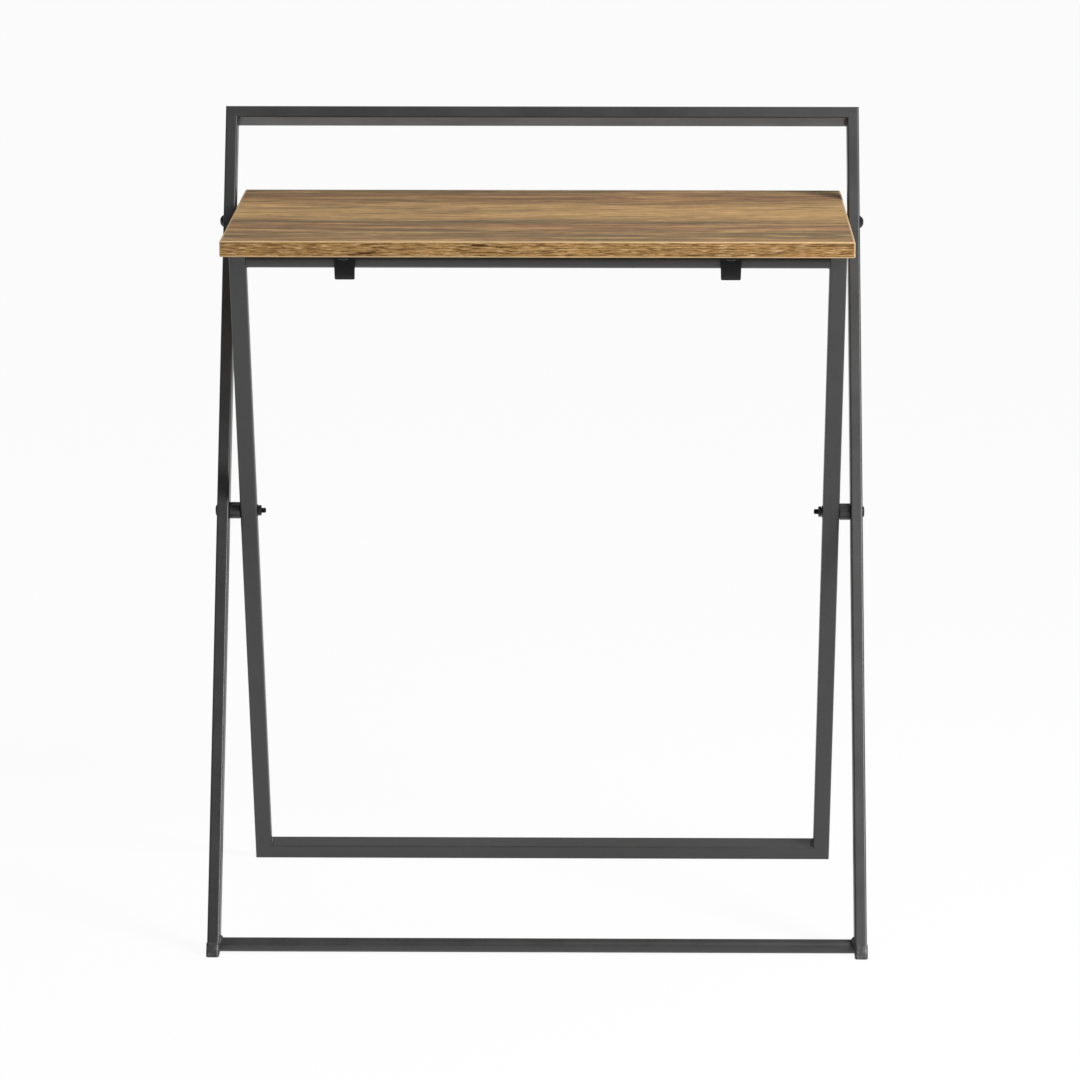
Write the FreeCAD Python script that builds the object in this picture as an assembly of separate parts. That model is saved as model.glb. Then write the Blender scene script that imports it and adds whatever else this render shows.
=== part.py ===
import FreeCAD, Part
import math
import os

# Folding desk: two tube frames cross at a middle pivot, and a wood-look board
# lies on the inner frame's rail and turns on two bolts in the outer legs.
# Frame: X to the right seen from the front, -Y to the front, Z up from the floor.
# The origin is on the floor under the middle of the desk, below the pivot axis.
# Each frame is drawn upright about the pivot and then leaned into place.

V = FreeCAD.Vector

# Driving dimensions of the whole desk, in millimetres and degrees
OVERALL_WIDTH = 700.0
DESK_HEIGHT = 760.0
LEAN = 27.0
PIVOT_HEIGHT = 439.0

# Outer frame of flat tube, feet in front and top bar behind
OUTER_TUBE_WIDTH = 13.0
OUTER_TUBE_DEPTH = 30.0
OUTER_TUBE_RADIUS = 2.0
OUTER_TOP = 463.5
OUTER_TUBE_END = -484.0
CROSS_BAR_DIAMETER = 15.0
CROSS_BAR_LEVEL = -482.0
CROSS_BAR_SETBACK = 2.0

# Moulded foot caps, cut flat on the floor
CAP_PROUD = 0.8
CAP_RADIUS = 2.8
CAP_EDGE_ROUND = 1.2
CAP_PLUG_HEIGHT = 18.0
CAP_PLUG_PLAY = 0.15
CAP_PLUG_WALL = 1.5
CAP_PLUG_CORNER = 1.0
CAP_HEAD_LENGTH = 50.0
CAP_RIB_HEIGHT = 1.2
CAP_RIB_COUNT = 3

# Inner frame of square tube, top rail in front and foot bar behind
INNER_WIDTH = 650.0
INNER_TUBE = 18.0
INNER_TUBE_RADIUS = 2.0
RAIL_DIAMETER = 17.0
RAIL_GAP = 0.3
LEG_CAP_HEAD = 2.0
LEG_CAP_DEPTH = 12.0
LEG_CAP_GAP = 0.5
LEG_CAP_CHAMFER = 0.5

TUBE_WALL = 1.2

# Board with edge bands
BOARD_WIDTH = 664.0
BOARD_THICKNESS = 17.0
BOARD_FRONT = -199.0
BOARD_BACK = 240.7
BOARD_ROUND = 1.5
BAND_THICKNESS = 2.0

# Bolts, nuts and washers, with M6 threads left plain
BOLT_RADIUS = 3.0
RUNNING_PLAY = 0.05
BODY_GAP = 0.35
NUT_ACROSS_FLATS = 10.0
NUT_HEIGHT = 5.0
NUT_CHAMFER = 1.2
BOLT_CHAMFER = 0.8
PIVOT_HEAD_RADIUS = 6.0
PIVOT_HEAD_HEIGHT = 2.2
PIVOT_BOLT_TAIL = 3.2
PIVOT_SPACER_RADIUS = 9.0
PIVOT_SPACER_CHAMFER = 0.6
PIVOT_WASHER_RADIUS = 6.5
WASHER_THICKNESS = 1.0
SOCKET_ACROSS_FLATS = 4.0
SOCKET_DEPTH = 1.4

# Hinge of the board, just under its lower face
HINGE_DROP = 7.0
HINGE_HEAD_RADIUS = 6.8
HINGE_HEAD_HEIGHT = 4.4
HINGE_HEAD_RIM = 0.8
HINGE_WASHER_RADIUS = 7.0
HINGE_BOLT_TAIL = 0.9
BRACKET_SHEET = 2.5
BRACKET_BEND = 1.0
BRACKET_LUG_RADIUS = 10.0
BRACKET_REACH = 64.0
BRACKET_NOTCH = 14.0
BRACKET_FLANGE = 38.0
BRACKET_FLANGE_CORNER = 7.0
BRACKET_TAIL_DROP = 6.0
BRACKET_SCREWS_BEHIND = (28.0, 51.0)
BRACKET_SCREW_INSET = 17.0

# Hooks under the board's front edge that catch the rail
HOOK_FROM_MIDDLE = 203.0
HOOK_WIDTH = 22.6
HOOK_TIP_WIDTH = 20.8
HOOK_SHEET = 2.0
HOOK_BEND = 1.2
HOOK_RAIL_GAP = 1.0
HOOK_FOOT_LENGTH = 31.0
HOOK_PLATE_DROP = 24.5
HOOK_LIP_LENGTH = 6.5
HOOK_LIP_ANGLE = 45.0
HOOK_CORNER = 1.5
HOOK_SCREW_FROM_EDGE = 16.0

# Wood screws as (head radius, head height, shank radius, length under the head)
BRACKET_SCREW = (3.7, 2.3, 1.8, 13.0)
HOOK_SCREW = (5.0, 2.8, 2.0, 13.0)
SCREW_POINT = 3.0
SCREW_CROWN_SHARE = 0.55
SCREW_RIM_SHARE = 0.4
PILOT_PLAY = 0.1

# Values worked out from the driving dimensions
HALF_WIDTH = OVERALL_WIDTH / 2
OUTER_LEG_INSIDE = HALF_WIDTH - OUTER_TUBE_WIDTH
INNER_HALF = INNER_WIDTH / 2
INNER_LEG_INSIDE = INNER_HALF - INNER_TUBE
BOARD_UNDERSIDE = DESK_HEIGHT - BOARD_THICKNESS
BOARD_HALF = BOARD_WIDTH / 2
SIN_LEAN = math.sin(math.radians(LEAN))
COS_LEAN = math.cos(math.radians(LEAN))
HINGE_HEIGHT = BOARD_UNDERSIDE - HINGE_DROP
HINGE_LEVEL = (HINGE_HEIGHT - PIVOT_HEIGHT) / COS_LEAN
HINGE_BEHIND = HINGE_LEVEL * SIN_LEAN
RAIL_HEIGHT = BOARD_UNDERSIDE - RAIL_GAP - RAIL_DIAMETER / 2
RAIL_LEVEL = (RAIL_HEIGHT - PIVOT_HEIGHT) / COS_LEAN
RAIL_BEHIND = -RAIL_LEVEL * SIN_LEAN
BOLT_HOLE_RADIUS = BOLT_RADIUS + RUNNING_PLAY
LOOSE_HOLE_RADIUS = BOLT_RADIUS + BODY_GAP

# The foot bar stands on its rounded front lower edge
FOOT_BAR_FLAT = INNER_TUBE / 2 - INNER_TUBE_RADIUS
FOOT_BAR_HEIGHT = FOOT_BAR_FLAT * (SIN_LEAN + COS_LEAN) + INNER_TUBE_RADIUS
FOOT_BAR_LEVEL = -(PIVOT_HEIGHT - FOOT_BAR_HEIGHT) / COS_LEAN
INNER_BOTTOM = FOOT_BAR_LEVEL - INNER_TUBE / 2

# Longer than the desk in every direction, how far a cut runs past a face, and too short to matter
LONG = 2000.0
PAST = 1.0
NEAR = 1e-3


def lean_outer(shape):
    """Lean an upright shape back about the pivot axis."""
    shape.rotate(V(0, 0, 0), V(1, 0, 0), -LEAN)
    shape.translate(V(0, 0, PIVOT_HEIGHT))
    return shape


def lean_inner(shape):
    """Lean an upright shape forward about the pivot axis."""
    shape.rotate(V(0, 0, 0), V(1, 0, 0), LEAN)
    shape.translate(V(0, 0, PIVOT_HEIGHT))
    return shape


def rounded_bar(width, depth, radius, low, high):
    """A solid bar of rounded rectangle section along Z, centred on the Z axis."""
    bar = Part.makeBox(width, depth, high - low, V(-width / 2, -depth / 2, low))
    return bar.makeFillet(radius, edges_along(bar, V(0, 0, 1)))


def chamfered_bar(width, depth, chamfer, low, high):
    """A solid bar along Z with its long edges cut off, centred on the Z axis."""
    bar = Part.makeBox(width, depth, high - low, V(-width / 2, -depth / 2, low))
    return bar.makeChamfer(chamfer, edges_along(bar, V(0, 0, 1)))


def box_tube(width, depth, radius, low, high):
    """A hollow rectangular tube along Z, open at both ends."""
    outside = rounded_bar(width, depth, radius, low, high)
    inside_radius = radius - TUBE_WALL / 2
    inside = rounded_bar(width - 2 * TUBE_WALL, depth - 2 * TUBE_WALL, inside_radius, low, high)
    return outside.cut(inside)


def rod_x(radius, start, end, y=0.0, z=0.0):
    """A solid cylinder along X."""
    return Part.makeCylinder(radius, end - start, V(start, y, z), V(1, 0, 0))


def round_tube_x(diameter, half_length, y, z):
    """A hollow round tube along X, centred on X = 0."""
    outside = rod_x(diameter / 2, -half_length, half_length, y, z)
    inside = rod_x(diameter / 2 - TUBE_WALL, -half_length, half_length, y, z)
    return outside.cut(inside)


def prism_y(points):
    """A solid whose outline is given in X and Z, long in Y."""
    corners = [V(x, -LONG / 2, z) for x, z in points]
    face = Part.Face(Part.makePolygon(corners + corners[:1]))
    return face.extrude(V(0, LONG, 0))


def prism_x(points, start, end):
    """A solid whose outline is given in Y and Z, between two X places."""
    corners = [V(start, y, z) for y, z in points]
    face = Part.Face(Part.makePolygon(corners + corners[:1]))
    return face.extrude(V(end - start, 0, 0))


def slab(low, high):
    """All that lies between two heights above the floor."""
    return Part.makeBox(LONG, LONG, high - low, V(-LONG / 2, -LONG / 2, low))


def turned_x(profile, y=0.0, z=0.0):
    """A solid of revolution about an X axis, from an (X, radius) outline."""
    corners = [V(x, 0, radius) for x, radius in profile]
    face = Part.Face(Part.makePolygon(corners + corners[:1]))
    solid = face.revolve(V(0, 0, 0), V(1, 0, 0), 360)
    solid.translate(V(0, y, z))
    return solid


def hexagon_x(across_flats, start, end, y=0.0, z=0.0):
    """A six-sided prism along X with a corner at the top."""
    radius = across_flats / math.sqrt(3)
    points = []
    for step in range(6):
        angle = math.radians(60 * step)
        points.append((y + radius * math.sin(angle), z + radius * math.cos(angle)))
    return prism_x(points, start, end)


def edges_along(shape, axis):
    """The straight edges of a shape that run along the X, Y or Z axis."""
    chosen = []
    for edge in shape.Edges:
        if isinstance(edge.Curve, Part.Line):
            step = edge.lastVertex().Point - edge.firstVertex().Point
            if abs(step.normalize().dot(axis)) > 1 - NEAR:
                chosen.append(edge)
    return chosen


def edges_at(shape, y, z):
    """The edges along X that pass through one place in Y and Z."""
    chosen = []
    for edge in edges_along(shape, V(1, 0, 0)):
        point = edge.firstVertex().Point
        if abs(point.y - y) < NEAR and abs(point.z - z) < NEAR:
            chosen.append(edge)
    return chosen


def mirrored(shape):
    """The same piece on the other side of the desk."""
    return shape.mirror(V(0, 0, 0), V(1, 0, 0))


# Outer frame

def outer_leg():
    """Flat tube with a mitred top and holes for the pivot and hinge bolts."""
    tube = box_tube(OUTER_TUBE_WIDTH, OUTER_TUBE_DEPTH, OUTER_TUBE_RADIUS, OUTER_TUBE_END, OUTER_TOP)
    tube.translate(V(HALF_WIDTH - OUTER_TUBE_WIDTH / 2, 0, 0))
    outline = (
        (OUTER_LEG_INSIDE, OUTER_TUBE_END),
        (HALF_WIDTH, OUTER_TUBE_END),
        (HALF_WIDTH, OUTER_TOP),
        (OUTER_LEG_INSIDE, OUTER_TOP - OUTER_TUBE_WIDTH),
    )
    leg = tube.common(prism_y(outline))
    for level in (0.0, HINGE_LEVEL):
        leg = leg.cut(rod_x(BOLT_HOLE_RADIUS, OUTER_LEG_INSIDE - PAST, HALF_WIDTH + PAST, 0, level))
    return lean_outer(leg)


def outer_top_bar():
    """The same flat tube across the top, mitred to both legs."""
    tube = box_tube(OUTER_TUBE_WIDTH, OUTER_TUBE_DEPTH, OUTER_TUBE_RADIUS, -HALF_WIDTH, HALF_WIDTH)
    tube.rotate(V(0, 0, 0), V(0, 1, 0), 90)
    tube.translate(V(0, 0, OUTER_TOP - OUTER_TUBE_WIDTH / 2))
    outline = (
        (-HALF_WIDTH, OUTER_TOP),
        (HALF_WIDTH, OUTER_TOP),
        (OUTER_LEG_INSIDE, OUTER_TOP - OUTER_TUBE_WIDTH),
        (-OUTER_LEG_INSIDE, OUTER_TOP - OUTER_TUBE_WIDTH),
    )
    return lean_outer(tube.common(prism_y(outline)))


def outer_cross_bar():
    """Round tube between the legs just above the floor."""
    return lean_outer(round_tube_x(CROSS_BAR_DIAMETER, OUTER_LEG_INSIDE, CROSS_BAR_SETBACK, CROSS_BAR_LEVEL))


def cap_plug():
    """Hollow ribbed plug that sits inside the leg's lower end."""
    width = OUTER_TUBE_WIDTH - 2 * TUBE_WALL - 2 * CAP_PLUG_PLAY
    depth = OUTER_TUBE_DEPTH - 2 * TUBE_WALL - 2 * CAP_PLUG_PLAY
    slim = 2 * CAP_PLUG_PLAY
    top = OUTER_TUBE_END + CAP_PLUG_HEIGHT
    plug = chamfered_bar(width - slim, depth - slim, CAP_PLUG_CORNER, OUTER_TUBE_END, top)
    pitch = CAP_PLUG_HEIGHT / CAP_RIB_COUNT
    for index in range(CAP_RIB_COUNT):
        low = OUTER_TUBE_END + (index + 0.5) * pitch
        plug = plug.fuse(chamfered_bar(width, depth, CAP_PLUG_CORNER, low, low + CAP_RIB_HEIGHT))
    wall = slim + 2 * CAP_PLUG_WALL
    return plug.cut(chamfered_bar(width - wall, depth - wall, CAP_PLUG_CORNER, OUTER_TUBE_END, top))


def foot_cap():
    """Wedge-shaped foot: flush with the leg on the inside, proud elsewhere."""
    width = OUTER_TUBE_WIDTH + CAP_PROUD
    depth = OUTER_TUBE_DEPTH + 2 * CAP_PROUD
    head = rounded_bar(width, depth, CAP_RADIUS, OUTER_TUBE_END - CAP_HEAD_LENGTH, OUTER_TUBE_END)
    head.translate(V(OUTER_LEG_INSIDE + width / 2, 0, 0))
    head = lean_outer(head).cut(slab(-LONG / 2, 0))
    rim = [edge for edge in head.Edges if edge.BoundBox.ZMax < NEAR]
    head = head.makeFillet(CAP_EDGE_ROUND, rim)
    plug = cap_plug()
    plug.translate(V(OUTER_LEG_INSIDE + OUTER_TUBE_WIDTH / 2, 0, 0))
    return head.fuse(lean_outer(plug)).removeSplitter()


# Inner frame

def inner_leg():
    """Square tube, mitred to the foot bar and cut level under the board."""
    tube = box_tube(INNER_TUBE, INNER_TUBE, INNER_TUBE_RADIUS, INNER_BOTTOM, LONG / 2)
    tube.translate(V(INNER_HALF - INNER_TUBE / 2, 0, 0))
    outline = (
        (INNER_HALF, INNER_BOTTOM),
        (INNER_HALF, LONG),
        (INNER_LEG_INSIDE, LONG),
        (INNER_LEG_INSIDE, INNER_BOTTOM + INNER_TUBE),
    )
    leg = tube.common(prism_y(outline))
    leg = leg.cut(rod_x(BOLT_HOLE_RADIUS, INNER_LEG_INSIDE - PAST, INNER_HALF + PAST))
    return lean_inner(leg).common(slab(0, leg_tube_top()))


def leg_tube_top():
    """Height where the inner leg's tube ends under its cap."""
    return BOARD_UNDERSIDE - LEG_CAP_GAP - LEG_CAP_HEAD


def inner_foot_bar():
    """Square tube across the bottom, standing on its lower edge."""
    tube = box_tube(INNER_TUBE, INNER_TUBE, INNER_TUBE_RADIUS, -INNER_HALF, INNER_HALF)
    tube.rotate(V(0, 0, 0), V(0, 1, 0), 90)
    tube.translate(V(0, 0, FOOT_BAR_LEVEL))
    outline = (
        (-INNER_HALF, INNER_BOTTOM),
        (INNER_HALF, INNER_BOTTOM),
        (INNER_LEG_INSIDE, INNER_BOTTOM + INNER_TUBE),
        (-INNER_LEG_INSIDE, INNER_BOTTOM + INNER_TUBE),
    )
    return lean_inner(tube.common(prism_y(outline)))


def inner_top_rail():
    """Round tube that carries the board's front."""
    return lean_inner(round_tube_x(RAIL_DIAMETER, INNER_LEG_INSIDE, 0, RAIL_LEVEL))


def inner_leg_cap():
    """Flat plug in the inner leg's level top end."""
    top = leg_tube_top() + LEG_CAP_HEAD
    middle = V(INNER_HALF - INNER_TUBE / 2, 0, 0)
    head = rounded_bar(INNER_TUBE, INNER_TUBE, INNER_TUBE_RADIUS, 0, LONG / 2)
    head.translate(middle)
    head = lean_inner(head).common(slab(leg_tube_top(), top))
    rim = [edge for edge in head.Edges if edge.BoundBox.ZMin > top - NEAR]
    head = head.makeChamfer(LEG_CAP_CHAMFER, rim)
    inside = INNER_TUBE - 2 * TUBE_WALL - 2 * CAP_PLUG_PLAY
    plug = chamfered_bar(inside, inside, CAP_PLUG_CORNER, 0, LONG / 2)
    plug.translate(middle)
    plug = lean_inner(plug).common(slab(leg_tube_top() - LEG_CAP_DEPTH, leg_tube_top()))
    return head.fuse(plug).removeSplitter()


# Pivot hardware

def nut_x(start, y, z):
    """Hexagon nut along X, chamfered on its open face."""
    end = start + NUT_HEIGHT
    corner = NUT_ACROSS_FLATS / math.sqrt(3)
    nut = hexagon_x(NUT_ACROSS_FLATS, start, end, y, z)
    dome = turned_x((
        (start, 0),
        (start, corner - NUT_CHAMFER),
        (start + NUT_CHAMFER / 2, corner),
        (end, corner),
        (end, 0),
    ), y, z)
    return nut.common(dome).cut(rod_x(BOLT_HOLE_RADIUS, start - PAST, end + PAST, y, z))


def ring_x(radius, start, end, y, z):
    """A plain washer along X, loose on its bolt."""
    return rod_x(radius, start, end, y, z).cut(rod_x(LOOSE_HOLE_RADIUS, start, end, y, z))


def pivot_washer_inside():
    """X where the washer on the inner leg's inside ends."""
    return INNER_LEG_INSIDE - WASHER_THICKNESS


def pivot_nut_start():
    """X where the pivot nut starts, clear of the washer."""
    return pivot_washer_inside() - BODY_GAP - NUT_HEIGHT


def pivot_bolt():
    """Low-headed bolt from the outer leg's outside to inside the inner leg."""
    tail = pivot_nut_start() - PIVOT_BOLT_TAIL
    outside = HALF_WIDTH + PIVOT_HEAD_HEIGHT
    bolt = turned_x((
        (tail, 0),
        (tail, BOLT_RADIUS - BOLT_CHAMFER),
        (tail + BOLT_CHAMFER, BOLT_RADIUS),
        (HALF_WIDTH, BOLT_RADIUS),
        (HALF_WIDTH, PIVOT_HEAD_RADIUS),
        (HALF_WIDTH + PIVOT_HEAD_HEIGHT / 2, PIVOT_HEAD_RADIUS),
        (outside, PIVOT_HEAD_RADIUS - PIVOT_HEAD_HEIGHT / 2),
        (outside, 0),
    ), 0, PIVOT_HEIGHT)
    socket = hexagon_x(SOCKET_ACROSS_FLATS, outside - SOCKET_DEPTH, outside + PAST, 0, PIVOT_HEIGHT)
    return bolt.cut(socket)


def pivot_spacer():
    """Sleeve that holds the two frames apart, chamfered at both ends."""
    start = INNER_HALF + BODY_GAP
    end = OUTER_LEG_INSIDE
    chamfer = PIVOT_SPACER_CHAMFER
    return turned_x((
        (start, LOOSE_HOLE_RADIUS),
        (start, PIVOT_SPACER_RADIUS - chamfer),
        (start + chamfer, PIVOT_SPACER_RADIUS),
        (end - chamfer, PIVOT_SPACER_RADIUS),
        (end, PIVOT_SPACER_RADIUS - chamfer),
        (end, LOOSE_HOLE_RADIUS),
    ), 0, PIVOT_HEIGHT)


def pivot_nut():
    """Nut inside the inner leg."""
    return nut_x(pivot_nut_start(), 0, PIVOT_HEIGHT)


def pivot_washer():
    """Washer on the inner leg's inside face."""
    return ring_x(PIVOT_WASHER_RADIUS, pivot_washer_inside(), INNER_LEG_INSIDE, 0, PIVOT_HEIGHT)


# Hinge of the board

def flange_outside():
    """X of the hinge bracket's upright face beside the outer leg."""
    return OUTER_LEG_INSIDE - WASHER_THICKNESS - BODY_GAP


def hinge_nut_start():
    """X where the hinge nut starts, clear of the bracket."""
    return flange_outside() - BRACKET_SHEET - BODY_GAP - NUT_HEIGHT


def hinge_bolt():
    """Dome-headed bolt through the outer leg and the bracket."""
    tail = hinge_nut_start() - HINGE_BOLT_TAIL
    rim = HALF_WIDTH + HINGE_HEAD_RIM
    outside = HALF_WIDTH + HINGE_HEAD_HEIGHT
    rise = outside - rim
    dome_radius = (HINGE_HEAD_RADIUS ** 2 + rise ** 2) / (2 * rise)
    half_turn = math.asin(HINGE_HEAD_RADIUS / dome_radius) / 2
    dome_middle = outside - dome_radius
    corners = [
        V(outside, 0, 0),
        V(tail, 0, 0),
        V(tail, 0, BOLT_RADIUS - BOLT_CHAMFER),
        V(tail + BOLT_CHAMFER, 0, BOLT_RADIUS),
        V(HALF_WIDTH, 0, BOLT_RADIUS),
        V(HALF_WIDTH, 0, HINGE_HEAD_RADIUS),
        V(rim, 0, HINGE_HEAD_RADIUS),
    ]
    shoulder = V(dome_middle + dome_radius * math.cos(half_turn), 0, dome_radius * math.sin(half_turn))
    dome = Part.Arc(corners[-1], shoulder, corners[0]).toShape()
    face = Part.Face(Part.Wire(Part.makePolygon(corners).Edges + [dome]))
    bolt = face.revolve(V(0, 0, 0), V(1, 0, 0), 360)
    bolt.translate(V(0, HINGE_BEHIND, HINGE_HEIGHT))
    return bolt


def hinge_washer():
    """Slippery washer between the outer leg and the bracket."""
    start = OUTER_LEG_INSIDE - WASHER_THICKNESS
    return ring_x(HINGE_WASHER_RADIUS, start, OUTER_LEG_INSIDE, HINGE_BEHIND, HINGE_HEIGHT)


def hinge_nut():
    """Nut on the inside of the bracket."""
    return nut_x(hinge_nut_start(), HINGE_BEHIND, HINGE_HEIGHT)


def bracket_outline():
    """The bracket's upright wall seen from the side: a lug with a tapering tail."""
    front = HINGE_BEHIND - BRACKET_LUG_RADIUS
    back = HINGE_BEHIND + BRACKET_REACH
    start = flange_outside() - BRACKET_SHEET - BRACKET_FLANGE
    end = flange_outside()
    tail = prism_x((
        (front, BOARD_UNDERSIDE),
        (front, HINGE_HEIGHT),
        (HINGE_BEHIND, HINGE_HEIGHT - BRACKET_LUG_RADIUS),
        (back, BOARD_UNDERSIDE - BRACKET_TAIL_DROP),
        (back, BOARD_UNDERSIDE),
    ), start, end)
    return tail.fuse(rod_x(BRACKET_LUG_RADIUS, start, end, HINGE_BEHIND, HINGE_HEIGHT))


def hinge_bracket():
    """Bent sheet: an upright wall with the bolt hole and a flange under the board."""
    outside = flange_outside()
    inside = outside - BRACKET_FLANGE
    front = HINGE_BEHIND - BRACKET_LUG_RADIUS
    back = HINGE_BEHIND + BRACKET_REACH
    low = HINGE_HEIGHT - BRACKET_LUG_RADIUS
    corners = (
        (inside, BOARD_UNDERSIDE),
        (outside, BOARD_UNDERSIDE),
        (outside, low),
        (outside - BRACKET_SHEET, low),
        (outside - BRACKET_SHEET, BOARD_UNDERSIDE - BRACKET_SHEET),
        (inside, BOARD_UNDERSIDE - BRACKET_SHEET),
    )
    points = [V(x, front, z) for x, z in corners]
    sheet = Part.Face(Part.makePolygon(points + points[:1])).extrude(V(0, back - front, 0))
    bends = ((corners[1], BRACKET_BEND + BRACKET_SHEET), (corners[4], BRACKET_BEND))
    for (x, z), radius in bends:
        chosen = []
        for edge in edges_along(sheet, V(0, 1, 0)):
            point = edge.firstVertex().Point
            if abs(point.x - x) < NEAR and abs(point.z - z) < NEAR:
                chosen.append(edge)
        sheet = sheet.makeFillet(radius, chosen)
    notch_length = BRACKET_LUG_RADIUS + BRACKET_NOTCH
    notch = Part.makeBox(BRACKET_FLANGE - BRACKET_SHEET, notch_length, LONG, V(inside, front, 0))
    sheet = sheet.cut(notch).common(bracket_outline())
    sheet = sheet.cut(rod_x(BOLT_HOLE_RADIUS, inside, outside + PAST, HINGE_BEHIND, HINGE_HEIGHT))
    for x, y in bracket_screw_places():
        sheet = sheet.cut(screw_hole(BRACKET_SCREW, x, y))
    flange_ends = [e for e in edges_along(sheet, V(0, 0, 1)) if abs(e.firstVertex().Point.x - inside) < NEAR]
    return sheet.makeFillet(BRACKET_FLANGE_CORNER, flange_ends)


def bracket_screw_places():
    """X and Y of the screws in one bracket's flange."""
    x = BOARD_HALF - BRACKET_SCREW_INSET
    return [(x, HINGE_BEHIND + behind) for behind in BRACKET_SCREWS_BEHIND]


# Screws into the board

def wood_screw(kind, x, y, seat):
    """Upright pan-head screw whose head seats against a face from below."""
    head_radius, head_height, shank_radius, length = kind
    top = seat + length
    outline = (
        (0, seat - head_height),
        (head_radius * SCREW_CROWN_SHARE, seat - head_height),
        (head_radius, seat - head_height * SCREW_RIM_SHARE),
        (head_radius, seat),
        (shank_radius, seat),
        (shank_radius, top - SCREW_POINT),
        (0, top),
    )
    corners = [V(radius, 0, z) for radius, z in outline]
    face = Part.Face(Part.makePolygon(corners + corners[:1]))
    screw = face.revolve(V(0, 0, 0), V(0, 0, 1), 360)
    screw.translate(V(x, y, 0))
    return screw


def screw_hole(kind, x, y):
    """The upright hole that a screw's shank needs, from below into the board."""
    shank_radius = kind[2]
    length = kind[3]
    low = BOARD_UNDERSIDE - length
    return Part.makeCylinder(shank_radius + PILOT_PLAY, 2 * length, V(x, y, low))


def bracket_screws():
    """The two screws of one bracket."""
    seat = BOARD_UNDERSIDE - BRACKET_SHEET
    return Part.makeCompound([wood_screw(BRACKET_SCREW, x, y, seat) for x, y in bracket_screw_places()])


def hook_screw_y():
    """Y of the screw that holds a hook."""
    return BOARD_FRONT + HOOK_SCREW_FROM_EDGE


def hook_screw():
    """The screw of one hook."""
    return wood_screw(HOOK_SCREW, HOOK_FROM_MIDDLE, hook_screw_y(), BOARD_UNDERSIDE - HOOK_SHEET)


# Board

def board_blank():
    """The whole board with every edge eased."""
    depth = BOARD_BACK - BOARD_FRONT
    blank = Part.makeBox(BOARD_WIDTH, depth, BOARD_THICKNESS, V(-BOARD_HALF, BOARD_FRONT, BOARD_UNDERSIDE))
    return blank.makeFillet(BOARD_ROUND, blank.Edges)


def board_slice(left, right, front, back):
    """The part of the board between two X and two Y places."""
    return board_blank().common(Part.makeBox(right - left, back - front, LONG, V(left, front, 0)))


def board_core():
    """The board without its edge bands, with pilot holes from below."""
    half = BOARD_HALF - BAND_THICKNESS
    core = board_slice(-half, half, BOARD_FRONT + BAND_THICKNESS, BOARD_BACK - BAND_THICKNESS)
    places = [(BRACKET_SCREW, x, y) for x, y in bracket_screw_places()]
    places.append((HOOK_SCREW, HOOK_FROM_MIDDLE, hook_screw_y()))
    for kind, x, y in places:
        for side in (1, -1):
            core = core.cut(screw_hole(kind, side * x, y))
    return core


def front_band():
    """Edge band along the board's front, over its whole width."""
    return board_slice(-BOARD_HALF, BOARD_HALF, BOARD_FRONT, BOARD_FRONT + BAND_THICKNESS)


def back_band():
    """Edge band along the board's back, over its whole width."""
    return board_slice(-BOARD_HALF, BOARD_HALF, BOARD_BACK - BAND_THICKNESS, BOARD_BACK)


def side_band():
    """Edge band along the board's side, between the front and back bands."""
    inside = BOARD_HALF - BAND_THICKNESS
    return board_slice(inside, BOARD_HALF, BOARD_FRONT + BAND_THICKNESS, BOARD_BACK - BAND_THICKNESS)


def hook():
    """Bent strip: a foot under the board, a plate in front of the rail and a lip below it."""
    back = RAIL_BEHIND - RAIL_DIAMETER / 2 - HOOK_RAIL_GAP
    front = back - HOOK_SHEET
    crease = BOARD_UNDERSIDE - HOOK_PLATE_DROP
    sine = math.sin(math.radians(HOOK_LIP_ANGLE))
    cosine = math.cos(math.radians(HOOK_LIP_ANGLE))
    tip = (front + HOOK_LIP_LENGTH * sine, crease - HOOK_LIP_LENGTH * cosine)
    tip_back = (tip[0] + HOOK_SHEET * cosine, tip[1] + HOOK_SHEET * sine)
    inner_crease = crease + HOOK_SHEET * math.tan(math.radians(HOOK_LIP_ANGLE / 2))
    foot_top = (back, BOARD_UNDERSIDE)
    foot_bottom = (front, BOARD_UNDERSIDE - HOOK_SHEET)
    outline = (
        (front - HOOK_FOOT_LENGTH, BOARD_UNDERSIDE),
        foot_top,
        (back, inner_crease),
        tip_back,
        tip,
        (front, crease),
        foot_bottom,
        (front - HOOK_FOOT_LENGTH, BOARD_UNDERSIDE - HOOK_SHEET),
    )
    half = HOOK_WIDTH / 2
    strip = prism_x(outline, HOOK_FROM_MIDDLE - half, HOOK_FROM_MIDDLE + half)
    bends = (
        (foot_top, HOOK_BEND + HOOK_SHEET),
        (foot_bottom, HOOK_BEND),
        ((front, crease), HOOK_BEND + HOOK_SHEET),
        ((back, inner_crease), HOOK_BEND),
    )
    for (y, z), radius in bends:
        strip = strip.makeFillet(radius, edges_at(strip, y, z))
    strip = strip.common(hook_taper(tip[1]))
    return strip.cut(screw_hole(HOOK_SCREW, HOOK_FROM_MIDDLE, hook_screw_y()))


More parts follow.
